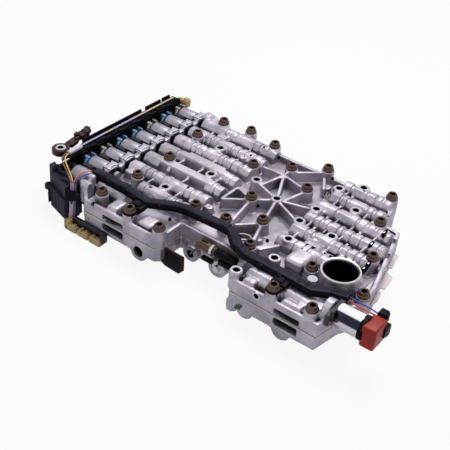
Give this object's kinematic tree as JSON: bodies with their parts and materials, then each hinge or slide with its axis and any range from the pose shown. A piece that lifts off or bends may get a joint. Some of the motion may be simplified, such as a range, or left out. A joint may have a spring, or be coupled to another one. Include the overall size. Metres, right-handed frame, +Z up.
{
  "type": "transmission valve body",
  "caption": "Aluminium transmission valve body: two castings with a separator plate, a solenoid bank, one larger solenoid and a wiring conduit on the deck.",
  "frame": {"origin": "axis of the suction port, at the base face", "axes": "+Z up through the port, +X towards the larger solenoid, +Y to the back edge"},
  "size_m": [0.4312, 0.2465, 0.06],
  "materials": {
    "cast_aluminium": "as cast",
    "plate_steel": "satin",
    "bolt_bronze": "dark phosphate",
    "can_steel": "satin",
    "bright_steel": "ground",
    "spring_steel": "drawn",
    "valve_alloy": "anodised",
    "black_plastic": "moulded",
    "clip_plastic": "moulded",
    "strip_plastic": "moulded",
    "white_plastic": "moulded",
    "cream_plastic": "moulded",
    "navy_plastic": "moulded",
    "brown_plastic": "moulded",
    "chrome_steel": "plated",
    "red_plastic": "moulded",
    "wire_cover": "extruded"
  },
  "bodies": {
    "valve_body": {"arm_bushing": "bright_steel", "blue_wire": "wire_cover", "brown_wire": "wire_cover", "cable_latch": "black_plastic", "casting_bolts": "bolt_bronze", "clip_rings": "clip_plastic", "connector_band": "navy_plastic", "connector_blocks": "cream_plastic", "contact_strip": "strip_plastic", "end_housing": "black_plastic", "end_plugs": "valve_alloy", "flat_cable": "wire_cover", "harness_conduit": "black_plastic", "locating_arm": "brown_plastic", "lower_casting": "cast_aluminium", "motor_blue_wire": "wire_cover", "motor_red_wire": "wire_cover", "orange_wire": "wire_cover", "plug_keepers": "bright_steel", "port_plug": "white_plastic", "rear_connector": "cream_plastic", "regulator_spring_1": "spring_steel", "regulator_spring_2": "spring_steel", "regulator_spring_3": "spring_steel", "regulator_spring_4": "spring_steel", "retainer_screw": "bolt_bronze", "right_plug": "black_plastic", "right_solenoid": "chrome_steel", "right_solenoid_cap": "red_plastic", "sensor_body": "brown_plastic", "sensor_clip": "bright_steel", "sensor_pin": "bright_steel", "sensor_sleeve": "black_plastic", "separator_plate": "plate_steel", "shield_plate": "brown_plastic", "shift_spring_1": "spring_steel", "shift_spring_2": "spring_steel", "shift_spring_3": "spring_steel", "solenoid_1": "can_steel", "solenoid_2": "can_steel", "solenoid_3": "can_steel", "solenoid_4": "can_steel", "solenoid_5": "can_steel", "solenoid_6": "can_steel", "solenoid_7": "can_steel", "solenoid_8": "can_steel", "solenoid_plugs": "black_plastic", "solenoid_retainer": "black_plastic", "terminal_rail": "black_plastic", "upper_casting": "cast_aluminium", "wire_sleeve": "white_plastic", "yellow_wire": "wire_cover"},
    "regulator_1": {"regulator_valve_1": "valve_alloy"},
    "regulator_2": {"regulator_valve_2": "valve_alloy"},
    "regulator_3": {"regulator_valve_3": "valve_alloy"},
    "regulator_4": {"regulator_valve_4": "valve_alloy"},
    "shift_1": {"shift_valve_1": "valve_alloy"},
    "shift_2": {"shift_valve_2": "valve_alloy"},
    "shift_3": {"shift_valve_3": "valve_alloy"},
    "selector": {"manual_valve": "bright_steel"}
  },
  "joints": [
    {"name": "regulator_1_slide", "type": "slide", "parent": "valve_body", "child": "regulator_1", "axis": [1, 0, 0], "range_m": [0, 0.004], "stiffness_N_per_m": 800, "deforming": ["regulator_spring_1"]},
    {"name": "regulator_2_slide", "type": "slide", "parent": "valve_body", "child": "regulator_2", "axis": [1, 0, 0], "range_m": [0, 0.004], "stiffness_N_per_m": 800, "deforming": ["regulator_spring_2"]},
    {"name": "regulator_3_slide", "type": "slide", "parent": "valve_body", "child": "regulator_3", "axis": [1, 0, 0], "range_m": [0, 0.004], "stiffness_N_per_m": 800, "deforming": ["regulator_spring_3"]},
    {"name": "regulator_4_slide", "type": "slide", "parent": "valve_body", "child": "regulator_4", "axis": [1, 0, 0], "range_m": [0, 0.004], "stiffness_N_per_m": 800, "deforming": ["regulator_spring_4"]},
    {"name": "shift_1_slide", "type": "slide", "parent": "valve_body", "child": "shift_1", "axis": [-1, 0, 0], "range_m": [0, 0.004], "stiffness_N_per_m": 800, "deforming": ["shift_spring_1"]},
    {"name": "shift_2_slide", "type": "slide", "parent": "valve_body", "child": "shift_2", "axis": [-1, 0, 0], "range_m": [0, 0.004], "stiffness_N_per_m": 800, "deforming": ["shift_spring_2"]},
    {"name": "shift_3_slide", "type": "slide", "parent": "valve_body", "child": "shift_3", "axis": [-1, 0, 0], "range_m": [0, 0.004], "stiffness_N_per_m": 800, "deforming": ["shift_spring_3"]},
    {"name": "manual_valve_slide", "type": "slide", "parent": "valve_body", "child": "selector", "axis": [0, -1, 0], "range_m": [0, 0.012]}
  ]
}
